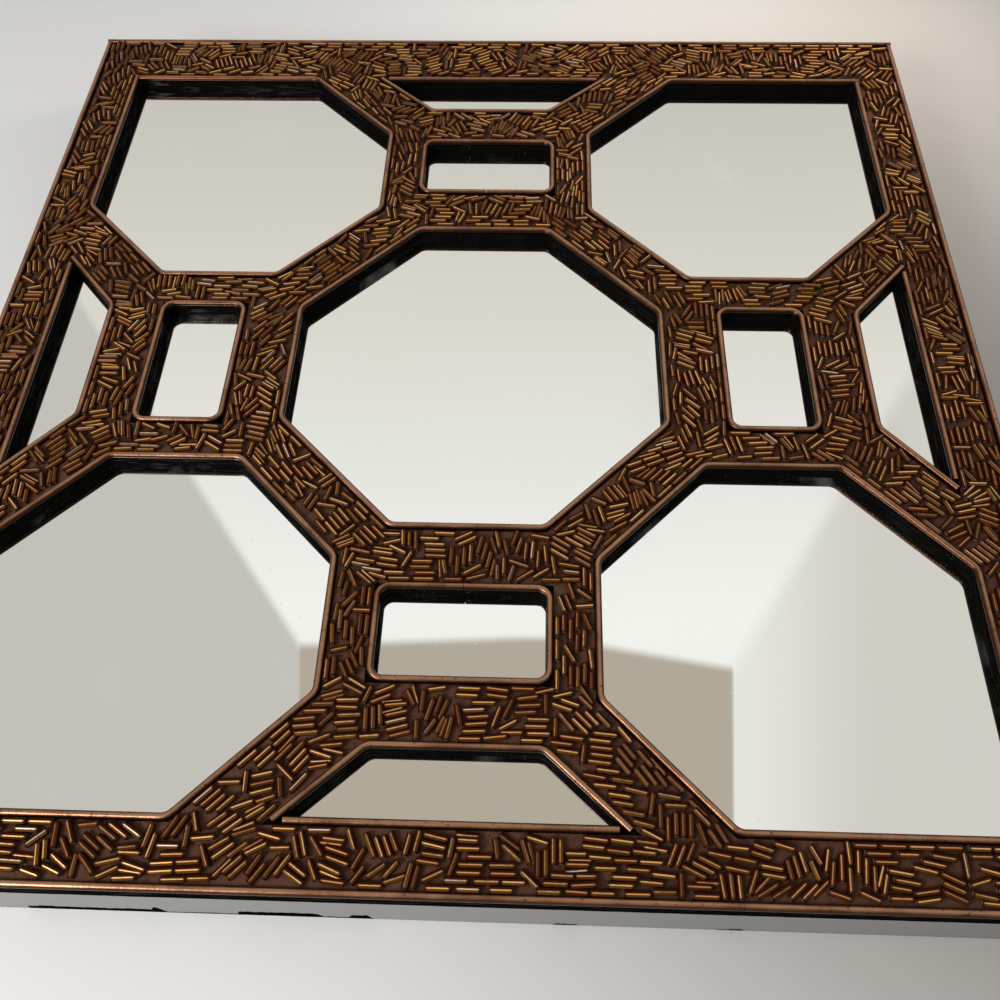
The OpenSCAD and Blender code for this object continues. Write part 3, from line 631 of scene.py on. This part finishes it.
class MIRROR_OT_wires(bpy.types.Operator):
    """Give the edging wires their copper paint, with a painted highlight along the top of each wire
    and painted shade low down
    """

    bl_idname = "mirror.wires"
    bl_label = "Copper Wires"

    def execute(self, context):
        wires = context.scene.mirror_wires
        names = [n for n in NODES if "wire" in n]
        low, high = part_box(names[0])
        finish = new_finish("copper_paint")
        height = (finish.place().part("Z") - low.z) / (high.z - low.z)
        patches = finish.noise(60, detail=5.0, roughness=0.6)
        specks = finish.noise(900, detail=2.0)
        # Painted highlight: the top of each wire, patchy along it, is painted in the paler copper
        # colour
        rubbed_and_highlight = (height + 0.3 * (patches - 0.5)).between(0.88, 1.02)
        # Painted shade: the lower part of each wire is painted dark; the fine specks below are dirt
        # in the same colour
        grime_and_shade = 1 - (height + 0.3 * (patches - 0.5)).between(0.6, 0.94)
        tint = finish.blend(rubbed_and_highlight, tuple(wires.copper), tuple(wires.worn_and_highlight))
        tint = finish.blend(0.95 * grime_and_shade, tint, tuple(wires.grime_and_shade))
        tint = finish.blend(0.6 * specks.between(0.6, 0.72), tint, tuple(wires.grime_and_shade))
        material = finish.surface(
            base_color=tint,
            metallic=0.85,
            roughness=0.2 + 0.2 * patches,
            normal=finish.bump(patches + 0.3 * specks, depth=0.0004, strength=0.4),
        )
        dress(names, material)
        return {"FINISHED"}


class MIRROR_OT_board(bpy.types.Operator):
    """Paint the cut board black and lay the brown glue bed on it"""

    bl_idname = "mirror.board"
    bl_label = "Board and Glue Bed"

    def execute(self, context):
        wires = context.scene.mirror_wires
        finish = new_finish("board_black")
        brushed = finish.noise(1, detail=3.0, roughness=0.6, place=finish.stretched((90, 90, 900)))
        dust = finish.noise(1500, detail=2.0).between(0.68, 0.76)
        tint = finish.blend(0.35 * dust, tuple(wires.board), tuple(wires.dust))
        dress(["fretwork_board"], finish.surface(
            base_color=tint,
            roughness=0.45 + 0.25 * brushed,
            normal=finish.bump(brushed, depth=0.0003, strength=0.4),
            coat_weight=0.1 * brushed.between(0.5, 0.7),
            coat_roughness=0.3,
            specular_ior_level=0.0,
        ))
        finish = new_finish("glue_bed")
        lumps = finish.noise(260, detail=5.0, roughness=0.6)
        grains = finish.noise(1500, detail=3.0)
        # Painted shade: the glue's low places, where the bump dips, are painted darker
        shade = (lumps + 0.35 * (grains - 0.5)).between(0.2, 0.55)
        tint = finish.blend(shade, tuple(wires.dent_shade), tuple(wires.bed))
        dress(["bead_bed"], finish.surface(
            base_color=tint,
            roughness=0.7 - 0.25 * grains,
            normal=finish.bump(lumps + 0.4 * grains, depth=0.0006, strength=0.7),
            specular_ior_level=0.12,
        ))
        return {"FINISHED"}


# Box: rails, pane, backing board, strips and hangers

# How far the board's black laps down over a rail's top edge, and how soft its edge is
BLACK_LAP = 0.0014
LAP_BLUR = 0.0004
# Where the outer faces are, counted outward from the box's side: a dab fades in between these
DAB_FACE = (-0.0006, -0.0003)
# Length over which a dab's end slopes down
DAB_END = 0.002
# From where to where, in metres along a rail, black is dabbed on its foot, and how high
DABS = (
    (-0.12, -0.083, 0.006), (-0.083, -0.0237, 0.003), (-0.0595, -0.0381, 0.004),
    (-0.0275, -0.0237, 0.0035), (0.0295, 0.0345, 0.0035), (0.0745, 0.0805, 0.003),
)


class MIRROR_OT_box(bpy.types.Operator):
    """Lacquer the side rails, with the board's black lapped over them and dabbed low down"""

    bl_idname = "mirror.box"
    bl_label = "Side Rails"

    def execute(self, context):
        box = context.scene.mirror_box
        low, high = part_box("side_rail_bottom")
        finish = new_finish("rail_lacquer")
        place = finish.place()
        height = place.part("Z")
        waves = finish.noise(1, detail=4.0, roughness=0.5, place=finish.stretched((14, 14, 30)))
        runs = finish.noise(1, detail=2.0, roughness=0.5, place=finish.stretched((0, 16, 0)))
        fine = finish.stretched((220, 220, 220))
        ragged = finish.noise(1, detail=4.0, roughness=0.7, place=fine)
        lap = (height + 0.0012 * ragged - high.z).between(-BLACK_LAP - LAP_BLUR, -BLACK_LAP)
        dab = 0.004 * runs.between(0.52, 0.6) - 0.005 * ragged + 0.0019
        for start, end, tall in DABS:
            reach = place.part("X").between(start - DAB_END, start)
            dab = dab + tall * reach * (1 - place.part("X").between(end, end + DAB_END))
        outside = (
            (place.part("X").size() + low.x).between(*DAB_FACE)
            + (place.part("Y").size() + low.y).between(*DAB_FACE)
        )
        dabs = outside * height.between(0, 0.0002) * (1 - (height - dab).between(0, 0.0004))
        black = (lap + dabs).between(0, 1)
        tint = finish.blend(0.3 * waves, tuple(box.lacquer), tuple(box.cloudy))
        tint = finish.blend(black, tint, tuple(box.black))
        dress(nodes_named("side_rail"), finish.surface(
            base_color=tint,
            roughness=0.24 + 0.15 * waves,
            normal=finish.bump(waves, depth=0.001, strength=0.1),
            coat_weight=0.6 - 0.6 * black,
            coat_roughness=0.12,
            specular_ior_level=0.0,
        ))
        return {"FINISHED"}


class MIRROR_OT_pane(bpy.types.Operator):
    """Silver the mirror pane, with a little dust and a few wiped marks"""

    bl_idname = "mirror.pane"
    bl_label = "Mirror Pane"

    def execute(self, context):
        box = context.scene.mirror_box
        finish = new_finish("silvered_glass")
        across = finish.stretched((24, 14, 1))
        wiped = finish.noise(1, detail=5.0, roughness=0.62, place=across).between(0.56, 0.76)
        dust = finish.noise(800, detail=2.0).between(0.72, 0.78)
        dress(["mirror_pane"], finish.surface(
            base_color=finish.blend(0.1 * wiped, tuple(box.silvering), tuple(box.smear)),
            metallic=1 - 0.15 * wiped,
            roughness=0.015 + 0.06 * wiped + 0.2 * dust,
        ))
        return {"FINISHED"}


class MIRROR_OT_back(bpy.types.Operator):
    """Finish the backing board and the strips that hold it"""

    bl_idname = "mirror.back"
    bl_label = "Backing Board and Strips"

    def execute(self, context):
        box = context.scene.mirror_box
        finish = new_finish("hardboard")
        fibres = finish.noise(350, detail=6.0, roughness=0.7)
        clouds = finish.noise(18, detail=3.0)
        tint = finish.blend(fibres.between(0.3, 0.7), tuple(box.fibres), tuple(box.hardboard))
        tint = finish.blend(0.3 * clouds, tint, tuple(box.clouds))
        dress(["backing_board"], finish.surface(
            base_color=tint,
            roughness=0.55 + 0.2 * fibres,
            normal=finish.bump(fibres, depth=0.0003, strength=0.5),
        ))
        for way, scale in (("across", (3, 160, 160)), ("along", (160, 3, 160))):
            finish = new_finish("pine_" + way)
            grain = finish.noise(1, detail=3.0, roughness=0.5, place=finish.stretched(scale))
            finer = finish.stretched(tuple(4 * s for s in scale))
            rays = finish.noise(1, detail=4.0, roughness=0.6, place=finer)
            tint = finish.blend(grain.between(0.42, 0.62), tuple(box.pine), tuple(box.grain))
            sides = ("bottom", "top") if way == "across" else ("left", "right")
            dress(["retaining_strip_" + s for s in sides], finish.surface(
                base_color=tint,
                roughness=0.6 + 0.1 * rays,
                normal=finish.bump(rays, depth=0.0003, strength=0.35),
            ))
        return {"FINISHED"}


class MIRROR_OT_hangers(bpy.types.Operator):
    """Plate the straps, rings and screws with zinc"""

    bl_idname = "mirror.hangers"
    bl_label = "Hangers"

    def execute(self, context):
        box = context.scene.mirror_box
        finish = new_finish("zinc_plate")
        spangle = finish.noise(420, detail=3.0)
        brushed = finish.stretched((900, 120, 900))
        scratch = finish.noise(1, detail=3.0, roughness=0.6, place=brushed)
        tint = finish.blend(0.4 * spangle, tuple(box.zinc), tuple(box.spangle))
        dress(nodes_named("hanger"), finish.surface(
            base_color=tint,
            metallic=1.0,
            roughness=0.28 + 0.18 * spangle,
            normal=finish.bump(scratch, depth=0.0002, strength=0.25),
        ))
        return {"FINISHED"}


# Stage: floor, light and camera


def soft_lamp(context, name, place, target, size, power, tint):
    """A rectangular lamp at a place, turned towards a target."""
    light = bpy.data.lights.new(name, "AREA")
    light.shape = "RECTANGLE"
    light.size, light.size_y = size
    light.energy = power
    light.color = tint
    lamp = bpy.data.objects.new(name, light)
    lamp.location = place
    lamp.rotation_euler = (Vector(target) - Vector(place)).to_track_quat("-Z", "Y").to_euler()
    context.scene.collection.objects.link(lamp)
    return lamp


# The camera's ways forward, right and up, as the mirror turns them round. A place in the
# room is given by its distances across and back over its distance ahead.
ROOM_AHEAD = (-0.0323, 0.5502, 0.8344)
ROOM_ACROSS = (0.9993, 0.032, 0.0176)
ROOM_BACK = (-0.017, 0.8344, -0.5509)
# Places along the top of the darker end wall, from left to right
END_WALL = ((-0.196, -0.191), (0.047, -0.183), (0.223, -0.213))
# The end wall's left and right edges, each as two places
END_LEFT = ((-0.196, -0.6), (-0.196, 0.6))
END_RIGHT = ((0.223, 0.6), (0.23, -0.6))
# Two places on the line between each side wall and the ceiling
LEFT_WALL = ((-0.303, -0.024), (-0.196, -0.191))
RIGHT_WALL = ((0.23, -0.21), (0.328, -0.049))
# Width of the blur along the edges of the room's parts
WALL_BLUR = 0.006
RIGHT_BLUR = 0.012
END_BLUR = 0.002
# How far across the right wall starts to take its own tint and has it fully
RIGHT_FADE = (0.22, 0.38)
# Cosines from straight ahead: below the first the room isn't seen, and above the second it is
AHEAD_FADE = (0.45, 0.75)
# The left wall is this much darker than the right one
LEFT_SHADE = 0.87
# Tints of the ceiling further and further back, after its start in the room's own colour
CEILING = ((0.45, (0.88, 0.885, 0.84)), (0.65, (0.755, 0.725, 0.66)), (0.84, (0.62, 0.59, 0.54)))
CEILING_START = 0.34
# Tints of the right wall near the ceiling, of what lies low in the room, of the even light
# and of what the camera sees behind everything
RIGHT_PALE = (0.85, 0.84, 0.785)
LOW_DOWN = (0.3, 0.29, 0.27)
FILL_TINT = (0.97, 0.985, 1.0)
BACKDROP = (0.9, 0.9, 0.89)


def room(stage):
    """Even light from all round. Shiny surfaces see a pale room with darker parts overhead."""
    finish = Finish(bpy.data.worlds.new("room"))
    way = finish.node("TexCoord", output="Generated")
    ahead = way.towards(ROOM_AHEAD)
    across = way.towards(ROOM_ACROSS) / ahead
    back = way.towards(ROOM_BACK) / ahead

    def beyond(first, second, blur=WALL_BLUR):
        """1 on the right of a line across the room, as it is seen from its first end."""
        run = Vector(second) - Vector(first)
        run.normalize()
        return ((back - first[1]) * -run.x + (across - first[0]) * run.y).between(-blur, blur)

    overhead = finish.ramp(back + 0.5, [(CEILING_START, tuple(stage.room)), *CEILING])
    haze = finish.noise(3, detail=3.0, roughness=0.5, place=way)
    overhead = finish.blend(0.08 * haze, overhead, tuple(stage.corner))
    left = beyond(*LEFT_WALL)
    right = beyond(*RIGHT_WALL, RIGHT_BLUR)
    right_wall = finish.blend(across.between(*RIGHT_FADE), RIGHT_PALE, tuple(stage.wall))
    left_top, middle_top, right_top = END_WALL
    end_wall = (
        beyond(*END_LEFT, END_BLUR) * beyond(left_top, middle_top)
        * beyond(middle_top, right_top) * beyond(*END_RIGHT, END_BLUR)
    )
    seen = finish.blend(left, overhead, tuple(LEFT_SHADE * c for c in stage.wall))
    seen = finish.blend(right, seen, right_wall)
    seen = finish.blend(end_wall, seen, tuple(stage.corner))
    seen = finish.blend(ahead.between(*AHEAD_FADE), LOW_DOWN, seen)
    shiny = finish.node("LightPath", output="Is Glossy Ray")
    plain = finish.node("Background", {}, {"Color": FILL_TINT, "Strength": stage.fill})
    mirrored = finish.node("Background", {}, {"Color": seen, "Strength": 1.0})
    backdrop = finish.node("Background", {}, {"Color": BACKDROP, "Strength": 1.0})
    camera = finish.node("LightPath", output="Is Camera Ray")
    mixed = finish.node("MixShader", {}, {0: shiny, 1: plain, 2: mirrored})
    mixed = finish.node("MixShader", {}, {0: camera, 1: mixed, 2: backdrop})
    finish.node("OutputWorld", {}, {"Surface": mixed})
    return finish.owner


# Half the width of the floor, and how far it lies under the mirror
FLOOR_HALF = 3.0
FLOOR_GAP = 0.0004
# Painted shade: the floor's colour turns darker from one of these places along X to the other
FLOOR_SHADE_FADE = (-0.06, 0.2)
# Place, target and size of each lamp, and its tint
WINDOW = ((-0.5, -0.48, 0.55), (0, 0, 0.02), (0.4, 0.3))
WINDOW_TINT = (1.0, 0.985, 0.96)
CORNER = ((0.18, 0.27, 0.17), (0.1, 0.16, 0.03), (0.15, 0.1))
CORNER_TINT = (1.0, 0.93, 0.84)
# The camera that was fitted to the outlines of the openings
EYE = (0.02045, -0.22742, 0.31543)
FORWARD = (-0.03234, 0.55022, -0.83439)
UP = (-0.01704, 0.8344, 0.55089)
SENSOR = 36
# This shift, as a share of the picture's width, puts the middle of the view above the
# picture's middle, where the camera fit found it
SHIFT = -0.05


def camera_turn():
    """The camera's rotation as a matrix."""
    forward = Vector(FORWARD).normalized()
    right = forward.cross(Vector(UP)).normalized()
    up = right.cross(forward)
    return Matrix((right, up, -forward)).transposed().to_4x4()


class MIRROR_OT_stage(bpy.types.Operator):
    """Set the floor, the soft light and the camera of the photograph"""

    bl_idname = "mirror.stage"
    bl_label = "Stage"

    def execute(self, context):
        stage = context.scene.mirror_stage
        scene = context.scene
        body = bmesh.new()
        bmesh.ops.create_grid(body, x_segments=1, y_segments=1, size=FLOOR_HALF)
        mesh = bpy.data.meshes.new("floor")
        body.to_mesh(mesh)
        body.free()
        floor = bpy.data.objects.new("floor", mesh)
        floor.location.z = -FLOOR_GAP
        scene.collection.objects.link(floor)
        finish = new_finish("floor_cloth")
        creases = finish.noise(3, detail=3.0, roughness=0.5)
        weave = finish.noise(900, detail=2.0)
        # Painted shade across the floor, darker towards +X
        shade = finish.place().part("X").between(*FLOOR_SHADE_FADE)
        tint = finish.blend(0.25 * creases, tuple(stage.floor), tuple(stage.crease))
        mesh.materials.append(finish.surface(
            base_color=finish.blend(shade, tint, tuple(stage.shade)),
            roughness=0.9,
            normal=finish.bump(creases + 0.05 * weave, depth=0.004, strength=0.15),
        ))

        scene.world = room(stage)
        soft_lamp(context, "key", *WINDOW, stage.lamp, WINDOW_TINT)
        glow = soft_lamp(context, "far_corner", *CORNER, stage.corner_lamp, CORNER_TINT)
        glow.visible_glossy = False
        glow.visible_camera = False

        camera = bpy.data.cameras.new("camera")
        camera.lens = stage.lens
        camera.sensor_width = SENSOR
        camera.shift_y = SHIFT
        camera.clip_start = 0.01
        eye = bpy.data.objects.new("camera", camera)
        eye.matrix_world = Matrix.Translation(EYE) @ camera_turn()
        scene.collection.objects.link(eye)
        scene.camera = eye
        scene.view_settings.view_transform = "Standard"
        return {"FINISHED"}


# Panel, registration and the run itself


class MIRROR_PT_looks(bpy.types.Panel):
    """Lists the steps and their sizes and colours"""

    bl_label = "Beaded Mirror"
    bl_idname = "MIRROR_PT_looks"
    bl_space_type = "VIEW_3D"
    bl_region_type = "UI"
    bl_category = "Beaded Mirror"

    def draw(self, context):
        for step in STEPS:
            self.layout.operator(step.bl_idname)
        for name, group in SETTINGS.items():
            column = self.layout.column()
            for field in group.__annotations__:
                column.prop(getattr(context.scene, name), field)


STEPS = (
    MIRROR_OT_stage,
    MIRROR_OT_beads,
    MIRROR_OT_wires,
    MIRROR_OT_board,
    MIRROR_OT_box,
    MIRROR_OT_pane,
    MIRROR_OT_back,
    MIRROR_OT_hangers,
)
CLASSES = (*SETTINGS.values(), *STEPS, MIRROR_PT_looks)


def register():
    """Adds the steps, the panel and their settings to Blender."""
    for cls in CLASSES:
        bpy.utils.register_class(cls)
    for name, group in SETTINGS.items():
        setattr(bpy.types.Scene, name, bpy.props.PointerProperty(type=group))


def unregister():
    """Takes them out again."""
    for name in SETTINGS:
        delattr(bpy.types.Scene, name)
    for cls in reversed(CLASSES):
        bpy.utils.unregister_class(cls)


def main():
    """Makes the looks step by step."""
    register()
    for step in STEPS:
        group, name = step.bl_idname.split(".")
        getattr(getattr(bpy.ops, group), name)()


if __name__ == "__main__":
    main()
